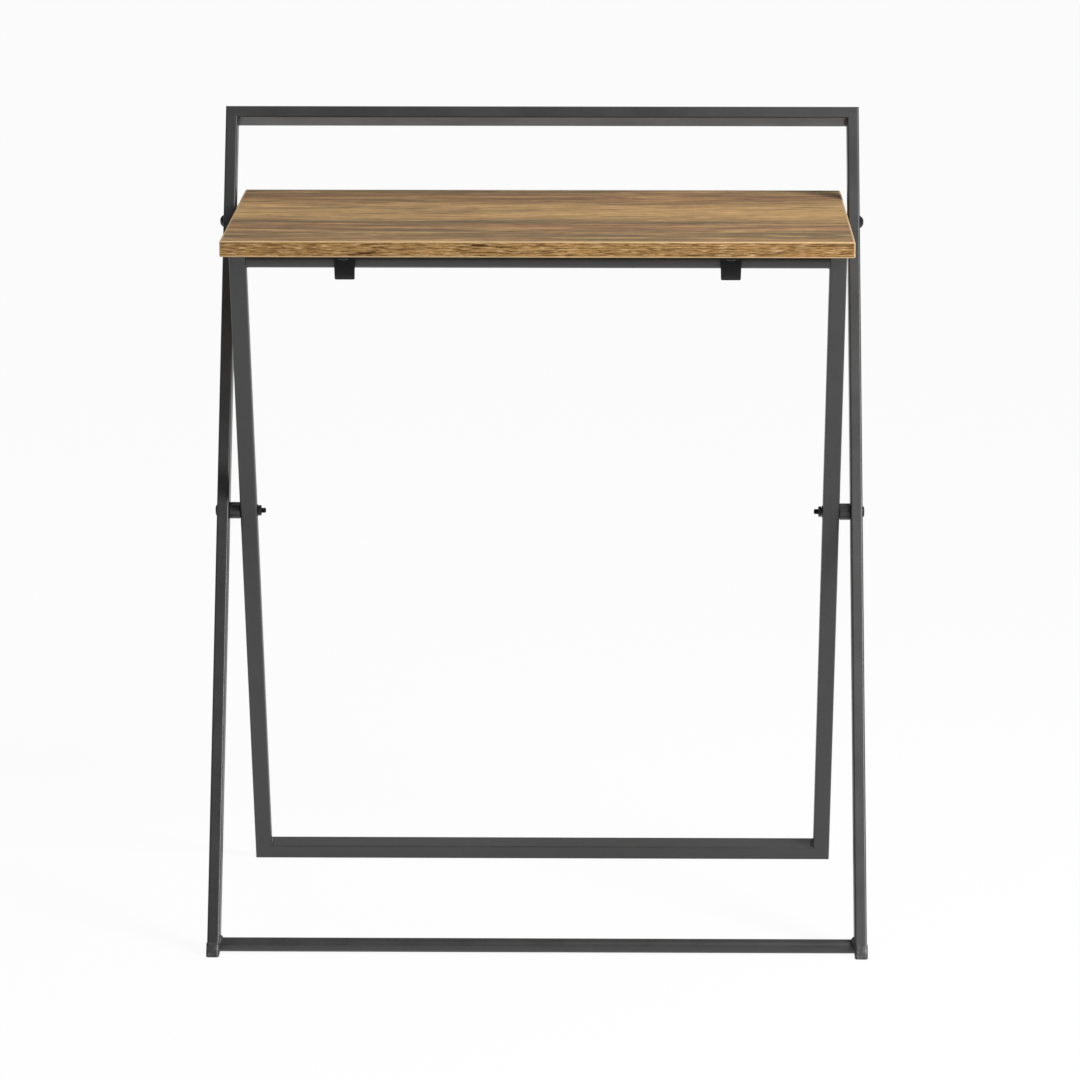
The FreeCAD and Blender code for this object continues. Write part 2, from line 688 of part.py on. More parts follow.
def hook_taper(tip_height):
    """The hook's front outline: full width at the board, narrower and round at the tip."""
    wide = HOOK_WIDTH / 2
    narrow = HOOK_TIP_WIDTH / 2
    outline = (
        (HOOK_FROM_MIDDLE - wide, BOARD_UNDERSIDE),
        (HOOK_FROM_MIDDLE + wide, BOARD_UNDERSIDE),
        (HOOK_FROM_MIDDLE + narrow, tip_height),
        (HOOK_FROM_MIDDLE - narrow, tip_height),
    )
    taper = prism_y(outline)
    tip_edges = [e for e in edges_along(taper, V(0, 1, 0)) if e.CenterOfMass.z < tip_height + NEAR]
    return taper.makeFillet(HOOK_CORNER, tip_edges)


SINGLE_PIECES = {
    "outer_top_bar": outer_top_bar,
    "outer_cross_bar": outer_cross_bar,
    "inner_foot_bar": inner_foot_bar,
    "inner_top_rail": inner_top_rail,
    "board_core": board_core,
    "edge_band_front": front_band,
    "edge_band_back": back_band,
}

# Pieces drawn on the right and mirrored to the left
PAIRED_PIECES = {
    "outer_leg": outer_leg,
    "foot_cap": foot_cap,
    "inner_leg": inner_leg,
    "inner_leg_cap": inner_leg_cap,
    "pivot_bolt": pivot_bolt,
    "pivot_spacer": pivot_spacer,
    "pivot_nut": pivot_nut,
    "pivot_washer": pivot_washer,
    "hinge_bolt": hinge_bolt,
    "hinge_washer": hinge_washer,
    "hinge_nut": hinge_nut,
    "hinge_bracket": hinge_bracket,
    "bracket_screws": bracket_screws,
    "hook": hook,
    "hook_screw": hook_screw,
    "edge_band": side_band,
}


def build_all():
    """Every node's shape by name."""
    shapes = {}
    for name, make in SINGLE_PIECES.items():
        shapes[name] = make()
    for name, make in PAIRED_PIECES.items():
        right = make()
        shapes[name + "_right"] = right
        shapes[name + "_left"] = mirrored(right)
    return shapes


os.makedirs("parts", exist_ok=True)
for node, shape in build_all().items():
    shape.exportStep("parts/" + node + ".step")
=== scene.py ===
import math

import bmesh
import bpy
from mathutils import Matrix, Vector


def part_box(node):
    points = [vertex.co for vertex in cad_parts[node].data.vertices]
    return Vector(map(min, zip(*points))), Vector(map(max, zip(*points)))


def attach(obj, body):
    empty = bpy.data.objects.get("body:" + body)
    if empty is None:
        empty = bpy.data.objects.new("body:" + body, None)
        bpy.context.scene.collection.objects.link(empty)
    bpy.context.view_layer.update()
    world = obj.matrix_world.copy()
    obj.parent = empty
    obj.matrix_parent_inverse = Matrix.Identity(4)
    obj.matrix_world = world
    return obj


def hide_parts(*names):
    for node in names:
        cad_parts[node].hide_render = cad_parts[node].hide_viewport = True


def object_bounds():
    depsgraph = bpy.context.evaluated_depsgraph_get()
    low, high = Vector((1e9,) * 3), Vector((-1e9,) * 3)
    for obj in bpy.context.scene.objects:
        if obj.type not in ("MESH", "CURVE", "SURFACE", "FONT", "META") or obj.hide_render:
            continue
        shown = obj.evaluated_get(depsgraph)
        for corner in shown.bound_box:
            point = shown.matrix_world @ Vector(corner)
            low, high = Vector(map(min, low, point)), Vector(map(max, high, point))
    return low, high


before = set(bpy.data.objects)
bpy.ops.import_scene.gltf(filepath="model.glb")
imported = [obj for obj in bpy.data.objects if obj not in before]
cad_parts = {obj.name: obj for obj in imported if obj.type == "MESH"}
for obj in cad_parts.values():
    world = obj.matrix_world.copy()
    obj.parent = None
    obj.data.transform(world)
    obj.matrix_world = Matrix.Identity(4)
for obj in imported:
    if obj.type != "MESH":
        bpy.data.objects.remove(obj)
CAD_BOX = [list(corner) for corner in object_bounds()]

bl_info = {
    "name": "Folding Desk",
    "version": (1, 0, 0),
    "blender": (4, 5, 0),
    "location": "View3D > Sidebar > Desk",
    "description": "Finishes, weld beads, bolts, screws and stage for a folding desk",
    "category": "Object",
}

SIDES = {"left": -1, "right": 1}
FRAME_NODES = ("outer_leg_left", "outer_leg_right", "outer_top_bar", "outer_cross_bar",
               "inner_leg_left", "inner_leg_right", "inner_foot_bar", "inner_top_rail")


def paired(*names):
    """Both sides' node names for pieces that come in pairs."""
    return [f"{name}_{side}" for name in names for side in SIDES]


# How far the legs lean from upright at rest
LEAN = math.radians(27.0)

# Fineness of turned forms and weld beads
TURN_STEPS = 48
DOME_STEPS = 8
RINGS_PER_RIPPLE = 4

# Points closer than this are one, points this close to a ring are on it, and a sharper bend is an edge
MERGE_WITHIN = 0.000001
RING_WITHIN = 0.00002
SHARP_ANGLE = math.radians(32.0)

# Heads from the top down, as (share of the height, share of the radius)
LOW_HEAD = ((0.0, 0.62), (0.12, 0.8), (0.4, 0.95), (0.65, 1.0), (1.0, 1.0))
PAN_HEAD = ((0.0, 0.62), (0.1, 0.8), (0.32, 0.94), (0.6, 1.0), (1.0, 1.0))

# Depth of the sockets as a share of the head's or the dome's height
LOW_SOCKET_DEPTH = 0.7
DOME_SOCKET_DEPTH = 0.55

# Nuts: flat face as a share of the width across flats, and small edges in metres
NUT_FACE = 0.52
NUT_CHAMFER_SLOPE = math.tan(math.radians(30.0))
NUT_RIM = 0.0004
NUT_COUNTERSINK = 0.0005
BORE_PLAY = 0.0001

# Bolt tips: flat as a share of the thread's root, and small edges in metres
TIP_FLAT = 0.75
TIP_CHAMFER = 0.0006
THREAD_START = 0.0004

# Screws: head height and cross recess as shares of the head's radius, and the rest as shares of those.
# Within the middle angle of an arm, in radians, only its end bounds the recess
SCREW_HEAD_HEIGHT = 0.58
RECESS_REACH = 0.52
RECESS_ARM_SLOPE = math.tan(math.radians(15.0))
RECESS_ARM_MIDDLE = 0.01
RECESS_DEPTH = 0.55
RECESS_FLOOR = 0.6
SCREW_POINT_START = 0.8

# Weld beads: outline as shares of the bead along its two walls, ripples, and how the ends taper
BEAD_OUTLINE = ((-0.2, -0.2), (1.0, 0.0), (0.8, 0.42), (0.42, 0.8), (0.0, 1.0))
RIPPLE_SWELL = 0.13
UNEVEN_SWELL = 0.06
UNEVEN_RATE = 2.3
BEAD_END = 0.3
BEAD_END_SLOPE = 4.0

# Mirror strength of the paint on tubes and welds, and the range that most of a noise texture lies in
PAINT_GLOSS = 0.6
NOISE_RANGE = (0.3, 0.7)

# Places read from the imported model, in metres
BOARD_LOW, BOARD_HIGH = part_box("board_core")
BOARD_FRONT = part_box("edge_band_front")[0].y
BOARD_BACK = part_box("edge_band_back")[1].y
BAND_THICK = BOARD_LOW.y - BOARD_FRONT


class DeskFrameFinish(bpy.types.PropertyGroup):
    """Finish of the tubes, fasteners and moulded caps."""
    paint: bpy.props.FloatVectorProperty(
        name="Paint", description="Charcoal powder coat on the tubes", subtype="COLOR", size=3,
        min=0.0, max=1.0, default=(0.028, 0.028, 0.0285))
    paint_roughness: bpy.props.FloatProperty(
        name="Paint roughness", description="Gloss of the powder coat", subtype="FACTOR",
        min=0.0, max=1.0, default=0.42)
    grain_size: bpy.props.FloatProperty(
        name="Paint grain", description="Width of the powder coat's fine bumps", unit="LENGTH",
        min=0.0001, default=0.0009)
    dark_sheet: bpy.props.FloatVectorProperty(
        name="Dark sheet", description="Black paint on hooks and brackets", subtype="COLOR", size=3,
        min=0.0, max=1.0, default=(0.008, 0.008, 0.0082))
    steel: bpy.props.FloatVectorProperty(
        name="Fastener steel", description="Blackened steel of bolts, nuts and screws", subtype="COLOR",
        size=3, min=0.0, max=1.0, default=(0.012, 0.012, 0.012))
    plastic: bpy.props.FloatVectorProperty(
        name="Plastic", description="Moulded plastic of caps and spacers", subtype="COLOR", size=3,
        min=0.0, max=1.0, default=(0.03, 0.03, 0.03))
    # Lighter patches of the caps: partly worn spots and partly painted sheen
    scuff: bpy.props.FloatVectorProperty(
        name="Scuff", description="Worn patches of the moulded caps", subtype="COLOR", size=3,
        min=0.0, max=1.0, default=(0.13, 0.13, 0.13))


class DeskBoardFinish(bpy.types.PropertyGroup):
    """Colours of the wood-look laminate and its edge bands."""
    dark: bpy.props.FloatVectorProperty(
        name="Dark grain", description="Grey-brown bands of the top", subtype="COLOR", size=3,
        min=0.0, max=1.0, default=(0.172, 0.128, 0.073))
    rose: bpy.props.FloatVectorProperty(
        name="Rose grain", description="Reddish bands of the top", subtype="COLOR", size=3,
        min=0.0, max=1.0, default=(0.31, 0.166, 0.09))
    middle: bpy.props.FloatVectorProperty(
        name="Middle grain", description="Main brown of the top", subtype="COLOR", size=3,
        min=0.0, max=1.0, default=(0.335, 0.202, 0.097))
    light: bpy.props.FloatVectorProperty(
        name="Light grain", description="Golden bands of the top", subtype="COLOR", size=3,
        min=0.0, max=1.0, default=(0.5, 0.315, 0.138))
    edge: bpy.props.FloatVectorProperty(
        name="Edge", description="Main colour of the edge bands", subtype="COLOR", size=3,
        min=0.0, max=1.0, default=(0.295, 0.165, 0.056))
    edge_light: bpy.props.FloatVectorProperty(
        name="Edge light", description="Light streaks in the edge bands", subtype="COLOR", size=3,
        min=0.0, max=1.0, default=(0.42, 0.25, 0.095))
    edge_streak: bpy.props.FloatVectorProperty(
        name="Edge streak", description="Dark streaks in the edge bands", subtype="COLOR", size=3,
        min=0.0, max=1.0, default=(0.05, 0.022, 0.005))
    # Painted highlight along the board's corners; the same colour also gives the edge bands' light flecks
    arris: bpy.props.FloatVectorProperty(
        name="Arris", description="Light line along the board's corners", subtype="COLOR", size=3,
        min=0.0, max=1.0, default=(0.6, 0.42, 0.23))
    arris_width: bpy.props.FloatProperty(
        name="Arris width", description="Height of the light line", unit="LENGTH", min=0.0, default=0.0018)


class DeskFasteners(bpy.types.PropertyGroup):
    """Threads, sockets and recesses of the fasteners."""
    bolt_radius: bpy.props.FloatProperty(
        name="Bolt radius", description="Radius of the bolts' shanks", unit="LENGTH", min=0.001,
        default=0.003)
    thread_pitch: bpy.props.FloatProperty(
        name="Thread pitch", description="Distance between threads", unit="LENGTH", min=0.0002,
        default=0.001)
    thread_depth: bpy.props.FloatProperty(
        name="Thread depth", description="Depth of the threads", unit="LENGTH", min=0.0, default=0.0005)
    pivot_nut_height: bpy.props.FloatProperty(
        name="Pivot nut height", description="Height of the thin nuts at the pivots", unit="LENGTH",
        min=0.001, default=0.0033)
    pivot_socket: bpy.props.FloatProperty(
        name="Pivot socket", description="Width across the pivot bolts' sockets", unit="LENGTH", min=0.0,
        default=0.004)
    hinge_socket: bpy.props.FloatProperty(
        name="Hinge socket", description="Width across the hinge bolts' sockets", unit="LENGTH", min=0.0,
        default=0.004)
    dome_rim: bpy.props.FloatProperty(
        name="Dome rim", description="Straight rim below the hinge bolts' domes", unit="LENGTH", min=0.0,
        default=0.0008)
    screw_radius: bpy.props.FloatProperty(
        name="Screw radius", description="Radius of the screws' shanks", unit="LENGTH", min=0.0005,
        default=0.0018)


class DeskWelds(bpy.types.PropertyGroup):
    """Weld beads where tubes meet."""
    bead: bpy.props.FloatProperty(
        name="Bead", description="How far a bead stands up each side of its corner", unit="LENGTH",
        min=0.0005, default=0.0026)
    rail_bead: bpy.props.FloatProperty(
        name="Rail bead", description="How far the rail's finer bead stands up", unit="LENGTH",
        min=0.0005, default=0.0012)
    ripple: bpy.props.FloatProperty(
        name="Ripple", description="Distance between a bead's ripples", unit="LENGTH", min=0.0005,
        default=0.0018)
    cross_bar_turn: bpy.props.FloatProperty(
        name="Cross bar turn", description="How far the beads reach round the cross bar", subtype="ANGLE",
        default=math.radians(190.0))
    rail_turn: bpy.props.FloatProperty(
        name="Rail turn", description="How far the beads reach round the top rail", subtype="ANGLE",
        default=math.radians(100.0))
    corner_margin: bpy.props.FloatProperty(
        name="Corner margin", description="How far the corner beads stop short of the tube's faces",
        unit="LENGTH", min=0.0, default=0.003)


class DeskStage(bpy.types.PropertyGroup):
    """Camera, lamps and floor."""
    camera_place: bpy.props.FloatVectorProperty(
        name="Camera place", description="Where the camera stands", subtype="TRANSLATION", unit="LENGTH",
        size=3, default=(0.0866, -6.333, 1.5723))
    camera_pitch: bpy.props.FloatProperty(
        name="Camera pitch", description="How far the camera looks down", subtype="ANGLE",
        default=math.radians(10.426))
    camera_turn: bpy.props.FloatProperty(
        name="Camera turn", description="How far the camera looks to the left", subtype="ANGLE",
        default=math.radians(0.781))
    lens: bpy.props.FloatProperty(
        name="Lens", description="Focal length on a sensor of full width", unit="CAMERA", default=197.47)
    key_place: bpy.props.FloatVectorProperty(
        name="Key place", description="Where the far lamp's light comes from", subtype="TRANSLATION",
        unit="LENGTH", size=3, default=(2.2, -2.0, 2.9))
    key_strength: bpy.props.FloatProperty(
        name="Key strength", description="Strength of the far lamp at the front right", default=0.9)
    key_softness: bpy.props.FloatProperty(
        name="Key softness", description="How wide the far lamp looks", subtype="ANGLE",
        default=math.radians(18.0))
    side_place: bpy.props.FloatVectorProperty(
        name="Side place", description="Where the soft lamp at the right stands", subtype="TRANSLATION",
        unit="LENGTH", size=3, default=(1.6, -1.55, 1.65))
    side_width: bpy.props.FloatProperty(
        name="Side width", description="Width of the soft lamp at the right", unit="LENGTH", default=1.0)
    side_power: bpy.props.FloatProperty(
        name="Side power", description="Power of the soft lamp at the right", unit="POWER", default=58.0)
    overhead_place: bpy.props.FloatVectorProperty(
        name="Overhead place", description="Where the wide lamp above hangs", subtype="TRANSLATION",
        unit="LENGTH", size=3, default=(0.0, 0.9, 2.9))
    overhead_width: bpy.props.FloatProperty(
        name="Overhead width", description="Width of the lamp above", unit="LENGTH", default=2.2)
    overhead_power: bpy.props.FloatProperty(
        name="Overhead power", description="Power of the wide lamp above", unit="POWER", default=14.0)
    ambient: bpy.props.FloatProperty(
        name="Ambient", description="Strength of the even light all round", min=0.0, default=0.24)
    floor_glow: bpy.props.FloatProperty(
        name="Floor glow", description="How far the seen floor is lifted to white", subtype="FACTOR",
        min=0.0, max=1.0, default=0.94)
    floor_colour: bpy.props.FloatVectorProperty(
        name="Floor", description="Colour of the pale floor", subtype="COLOR", size=3,
        min=0.0, max=1.0, default=(0.9, 0.9, 0.9))
    floor_size: bpy.props.FloatProperty(
        name="Floor size", description="Half the floor's width", unit="LENGTH", default=400.0)


# Helpers for node trees

class Tree:
    """A material's node tree with short calls to add and join nodes."""

    def __init__(self, name):
        self.material = bpy.data.materials.new(name)
        self.material.use_nodes = True
        self.nodes = self.material.node_tree.nodes
        self.links = self.material.node_tree.links
        self.shader = self.nodes["Principled BSDF"]
        self.output = self.nodes["Material Output"]

    def add(self, kind, **settings):
        """A new node with its settings."""
        node = self.nodes.new(kind)
        for key, value in settings.items():
            setattr(node, key, value)
        return node

    def feed(self, socket, value):
        """Join a socket to another, or set it to a value."""
        if isinstance(value, bpy.types.NodeSocket):
            self.links.new(value, socket)
        else:
            socket.default_value = value

    def math(self, operation, first, second=0.0, third=0.0):
        """A Math node's result."""
        node = self.add("ShaderNodeMath", operation=operation)
        for socket, value in zip(node.inputs, (first, second, third)):
            self.feed(socket, value)
        return node.outputs[0]

    def stretched(self, scale=(1.0, 1.0, 1.0)):
        """Object coordinates scaled along each axis."""
        coordinates = self.add("ShaderNodeTexCoord")
        mapping = self.add("ShaderNodeMapping")
        mapping.inputs["Scale"].default_value = scale
        self.feed(mapping.inputs["Vector"], coordinates.outputs["Object"])
        return mapping.outputs["Vector"]

    def noise(self, vector, scale=1.0, detail=4.0, roughness=0.55, distortion=0.0):
        """A noise texture's grey value."""
        node = self.add("ShaderNodeTexNoise")
        self.feed(node.inputs["Vector"], vector)
        for name, value in (("Scale", scale), ("Detail", detail), ("Roughness", roughness),
                            ("Distortion", distortion)):
            node.inputs[name].default_value = value
        return node.outputs["Fac"]

    def span(self, value, low, high, to_low=0.0, to_high=1.0):
        """A value spread from one range to another, kept within it."""
        node = self.add("ShaderNodeMapRange")
        for name, entry in (("Value", value), ("From Min", low), ("From Max", high),
                            ("To Min", to_low), ("To Max", to_high)):
            self.feed(node.inputs[name], entry)
        return node.outputs["Result"]

    def mix(self, factor, first, second, blend="MIX"):
        """Two colours mixed by a factor."""
        node = self.add("ShaderNodeMix", data_type="RGBA", blend_type=blend)
        self.feed(node.inputs["Factor"], factor)
        self.feed(node.inputs["A"], opaque(first))
        self.feed(node.inputs["B"], opaque(second))
        return node.outputs["Result"]

    def shaded(self, colour, tone):
        """A colour multiplied by a tone."""
        return self.mix(1.0, colour, tone, "MULTIPLY")

    def ramp(self, value, stops):
        """A colour ramp with (place, colour) stops."""
        node = self.add("ShaderNodeValToRGB")
        elements = node.color_ramp.elements
        while len(elements) < len(stops):
            elements.new(0.5)
        for element, (place, colour) in zip(elements, stops):
            element.position = place
            element.color = opaque(colour)
        self.feed(node.inputs["Fac"], value)
        return node.outputs["Color"]

    def bump(self, height, distance, strength=1.0):
        """Raise the shader's surface by a height."""
        node = self.add("ShaderNodeBump")
        node.inputs["Strength"].default_value = strength
        node.inputs["Distance"].default_value = distance
        self.feed(node.inputs["Height"], height)
        self.feed(self.shader.inputs["Normal"], node.outputs["Normal"])

    def set(self, **values):
        """Set or join the shader's sockets by name, with underscores for blanks."""
        for name, value in values.items():
            self.feed(self.shader.inputs[name.replace("_", " ")], opaque(value))


def opaque(value):
    """A three-part colour with full alpha, and anything else as it is."""
    if isinstance(value, (float, int, bpy.types.NodeSocket)):
        return value
    return (*tuple(value)[:3], 1.0)


def dress(material, *nodes):
    """Give CAD nodes a material."""
    for name in nodes:
        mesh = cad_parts[name].data
        mesh.materials.clear()
        mesh.materials.append(material)


# Finishes

def powder_coat(finish):
    """Charcoal powder coat: fine orange-peel bumps, and slightly uneven tone and gloss."""
    tree = Tree("powder_coat")
    even = tree.stretched()
    peel = tree.noise(even, scale=1.0 / finish.grain_size, detail=2.0, roughness=0.5)
    cloud = tree.noise(even, scale=22.0, detail=3.0)
    tone = tree.span(cloud, *NOISE_RANGE, 0.88, 1.12)
    paint = tree.shaded(finish.paint, tone)
    roughness = tree.span(cloud, *NOISE_RANGE, finish.paint_roughness - 0.04, finish.paint_roughness + 0.04)
    tree.set(Base_Color=paint, Roughness=roughness, Specular_IOR_Level=PAINT_GLOSS)
    tree.bump(peel, distance=0.00006, strength=0.35)
    return tree.material


def weld_paint(finish):
    """Powder coat over a weld: rougher bumps, patches of higher gloss, and lighter speckles painted in as
    glints.
    """
    tree = Tree("weld_paint")
    even = tree.stretched()
    spatter = tree.noise(even, scale=900.0, detail=4.0, roughness=0.65)
    # The tone runs from darker to much lighter speckles; the lighter ones are painted glints on the bead
    tone = tree.span(spatter, 0.36, 0.66, 0.6, 2.6)
    tree.set(Base_Color=tree.shaded(finish.paint, tone))
    tree.set(Roughness=tree.span(spatter, 0.35, 0.65, 0.4, 0.18), Specular_IOR_Level=PAINT_GLOSS)
    tree.bump(spatter, distance=0.0003, strength=0.6)
    return tree.material


def black_sheet(finish):
    """Satin black paint on bent sheet."""
    tree = Tree("black_sheet")
    even = tree.stretched()
    cloud = tree.noise(even, scale=60.0, detail=3.0)
    tone = tree.span(cloud, *NOISE_RANGE, 0.85, 1.15)
    tree.set(Base_Color=tree.shaded(finish.dark_sheet, tone))
    tree.set(Roughness=tree.span(cloud, *NOISE_RANGE, 0.56, 0.68), Specular_IOR_Level=0.25)
    tree.bump(tree.noise(even, scale=1.0 / finish.grain_size, detail=2.0), distance=0.00005, strength=0.3)
    return tree.material


def blackened_steel(finish):
    """Blackened steel: part metal, with faint turning marks."""
    tree = Tree("blackened_steel")
    turning = tree.stretched((900.0, 90.0, 90.0))
    marks = tree.noise(turning, detail=3.0)
    tree.set(Base_Color=tree.mix(tree.span(marks, *NOISE_RANGE, 0.0, 0.5), finish.steel, finish.paint))
    tree.set(Metallic=0.35, Roughness=tree.span(marks, *NOISE_RANGE, 0.26, 0.4), Specular_IOR_Level=0.3)
    tree.bump(marks, distance=0.00004, strength=0.4)
    return tree.material


def moulded_plastic(finish):
    """Moulded black plastic, mottled with lighter patches that are partly worn spots and partly painted
    sheen, and with a fine spark-eroded grain.
    """
    tree = Tree("moulded_plastic")
    even = tree.stretched()
    spark = tree.noise(even, scale=2600.0, detail=2.0)
    scuff_and_sheen_patches = tree.noise(even, scale=260.0, detail=5.0, roughness=0.7, distortion=0.6)
    # Lighter mottled patches on the caps: partly worn spots and partly painted sheen; the same patches are
    # also glossier
    scuffed_and_sheened = tree.mix(tree.span(scuff_and_sheen_patches, 0.5, 0.66, 0.0, 0.8), finish.plastic, finish.scuff)
    tree.set(Base_Color=scuffed_and_sheened, Roughness=tree.span(scuff_and_sheen_patches, 0.4, 0.66, 0.52, 0.34))
    tree.bump(spark, distance=0.00005, strength=0.5)
    return tree.material


def glossy_nylon(finish):
    """Smooth black nylon with faint turning lines."""
    tree = Tree("glossy_nylon")
    lines = tree.noise(tree.stretched((1600.0, 60.0, 60.0)), detail=2.0)
    tree.set(Base_Color=tree.mix(tree.span(lines, *NOISE_RANGE), finish.plastic, finish.dark_sheet))
    tree.set(Roughness=tree.span(lines, *NOISE_RANGE, 0.24, 0.34))
    tree.bump(lines, distance=0.00003, strength=0.3)
    return tree.material


def laminate(finish):
    """Wood-look top: soft bands across the depth, with drawn-out wisps, flecks and pores along X."""
    tree = Tree("laminate")
    places = tree.add("ShaderNodeSeparateXYZ")
    tree.feed(places.inputs[0], tree.stretched())
    drift = tree.noise(tree.stretched((2.2, 6.0, 1.0)), detail=3.0)
    across = tree.math("MULTIPLY_ADD", tree.math("SUBTRACT", drift, 0.5), 0.11, places.outputs["Y"])
    bands = tree.ramp(tree.span(across, BOARD_FRONT, BOARD_BACK), (
        (0.0, finish.middle),
        (0.14, finish.dark),
        (0.26, finish.rose),
        (0.36, finish.dark),
        (0.46, finish.light),
        (0.66, finish.light),
        (0.76, finish.middle),
        (0.86, finish.rose),
        (1.0, finish.dark),
    ))
    hues = tree.noise(tree.stretched((4.0, 26.0, 26.0)), detail=4.0, roughness=0.6, distortion=0.3)
    tinted = tree.mix(tree.span(hues, 0.42, 0.62, 0.45, 0.0), bands, finish.middle)
    wisps = tree.noise(tree.stretched((7.0, 60.0, 60.0)), detail=6.0, roughness=0.62, distortion=0.6)
    wisped = tree.mix(tree.span(wisps, 0.51, 0.68, 0.0, 0.9), tinted, finish.dark)
    wisped = tree.mix(tree.span(wisps, 0.49, 0.36, 0.0, 0.75), wisped, finish.light)
    grain = tree.noise(tree.stretched((21.0, 340.0, 340.0)), detail=5.0, roughness=0.62, distortion=0.5)
    grained = tree.shaded(wisped, tree.span(grain, 0.34, 0.68, 1.4, 0.6))
    flecks = tree.noise(tree.stretched((60.0, 125.0, 125.0)), detail=4.0, roughness=0.7)
    flecked = tree.shaded(grained, tree.span(flecks, 0.34, 0.66, 1.16, 0.84))
    fibres = tree.noise(tree.stretched((22.0, 900.0, 900.0)), detail=3.0, roughness=0.6)
    fine = tree.shaded(flecked, tree.span(fibres, 0.25, 0.75, 0.86, 1.12))
    pores = tree.noise(tree.stretched((60.0, 1500.0, 1500.0)), detail=1.0, roughness=0.5)
    pored = tree.mix(tree.span(pores, 0.66, 0.74, 0.0, 0.35), fine, finish.edge_streak)
    tree.set(Base_Color=pored, Roughness=tree.span(fibres, 0.25, 0.75, 0.6, 0.7), Specular_IOR_Level=0.12)
    tree.bump(fibres, distance=0.00008, strength=0.35)
    return tree.material


def edge_band(finish, name, axis):
    """Edge band: golden brown with broken dark streaks and flecks, and a painted highlight along each arris
    and at the band's ends.
    """
    tree = Tree(name)

    def drawn_out(along, across):
        """Coordinates with one frequency along the band and another across it."""
        scale = [across, across, across]
        scale["XY".index(axis)] = along
        return tree.stretched(scale)

    places = tree.add("ShaderNodeSeparateXYZ")
    tree.feed(places.inputs[0], tree.stretched())
    ends = [getattr(corner, axis.lower()) for corner in (BOARD_LOW, BOARD_HIGH)]
    density = tree.ramp(tree.span(places.outputs[axis], *ends), (
        (0.0, (0.2, 0.2, 0.2)),
        (0.12, (0.5, 0.5, 0.5)),
        (0.2, (1.0, 1.0, 1.0)),
        (0.45, (1.0, 1.0, 1.0)),
        (0.62, (0.75, 0.75, 0.75)),
        (0.8, (0.55, 0.55, 0.55)),
        (1.0, (0.5, 0.5, 0.5)),
    ))
    grain = tree.noise(drawn_out(26.0, 540.0), detail=6.0, roughness=0.66, distortion=0.6)
    flecks = tree.noise(drawn_out(70.0, 900.0), detail=3.0, roughness=0.6)
    lines = tree.add("ShaderNodeTexWave", bands_direction="Z")
    tree.feed(lines.inputs["Vector"], drawn_out(9.0, 130.0))
    for socket, value in (("Scale", 1.0), ("Distortion", 5.0), ("Detail", 3.0), ("Detail Scale", 0.8)):
        lines.inputs[socket].default_value = value
    patches = tree.noise(drawn_out(9.0, 60.0), detail=3.0)
    reach = tree.math("MULTIPLY", tree.span(patches, 0.38, 0.56, 0.35, 1.0), density)
    streaks = tree.math("MULTIPLY", tree.span(grain, 0.55, 0.58), reach)
    drawn = tree.span(lines.outputs["Fac"], 0.66, 0.95, 0.0, 0.55)
    lined = tree.math("MULTIPLY", drawn, tree.span(reach, 1.0, 0.4))
    body = tree.mix(tree.span(grain, 0.5, 0.34, 0.0, 0.8), finish.edge, finish.edge_light)
    toned = tree.shaded(body, tree.span(patches, 0.35, 0.65, 1.12, 0.86))
    toned = tree.mix(lined, toned, finish.edge_streak)
    flecked = tree.mix(tree.span(flecks, 0.55, 0.6, 0.0, 0.75), toned, finish.edge_streak)
    flecked = tree.mix(tree.span(flecks, 0.43, 0.37, 0.0, 0.6), flecked, finish.arris)
    streaked = tree.mix(streaks, flecked, finish.edge_streak)
    middle = (BOARD_LOW.z + BOARD_HIGH.z) / 2
    half = (BOARD_HIGH.z - BOARD_LOW.z) / 2
    # Painted highlight: a light line along the top and bottom arrises and at the band's ends, standing in
    # for the light that the rounded edges catch
    away = tree.math("ABSOLUTE", tree.math("SUBTRACT", places.outputs["Z"], middle))
    arris = tree.span(away, half - finish.arris_width, half - 0.4 * finish.arris_width, 0.0, 0.85)
    reached = tree.math("ABSOLUTE", tree.math("SUBTRACT", places.outputs[axis], sum(ends) / 2))
    end = (ends[1] - ends[0]) / 2 + BAND_THICK
    corner = tree.span(reached, end - 0.9 * finish.arris_width, end - 0.3 * finish.arris_width, 0.0, 0.8)
    arris = tree.math("MAXIMUM", arris, corner)
    tree.set(Base_Color=tree.mix(arris, streaked, finish.arris))
    tree.set(Roughness=tree.span(grain, *NOISE_RANGE, 0.55, 0.68), Specular_IOR_Level=0.15)
    tree.bump(grain, distance=0.0001, strength=0.4)
    return tree.material


def studio_floor(stage):
    """Pale floor that the camera sees as white, with the object's soft shadow."""
    tree = Tree("studio_floor")
    tree.set(Base_Color=stage.floor_colour, Roughness=1.0, Specular_IOR_Level=0.0)
    paths = tree.add("ShaderNodeLightPath")
    seen = tree.math("ADD", paths.outputs["Is Camera Ray"], paths.outputs["Is Glossy Ray"])
    seen = tree.math("MINIMUM", tree.math("ADD", seen, paths.outputs["Is Transmission Ray"]), 1.0)
    glow = tree.add("ShaderNodeEmission")
    share = tree.math("MULTIPLY", seen, stage.floor_glow)
    mixed = tree.add("ShaderNodeMixShader")
    tree.feed(mixed.inputs[0], share)
    tree.links.new(tree.shader.outputs[0], mixed.inputs[1])
    tree.links.new(glow.outputs[0], mixed.inputs[2])
    tree.links.new(mixed.outputs[0], tree.output.inputs["Surface"])
    return tree.material


# Helpers for shapes

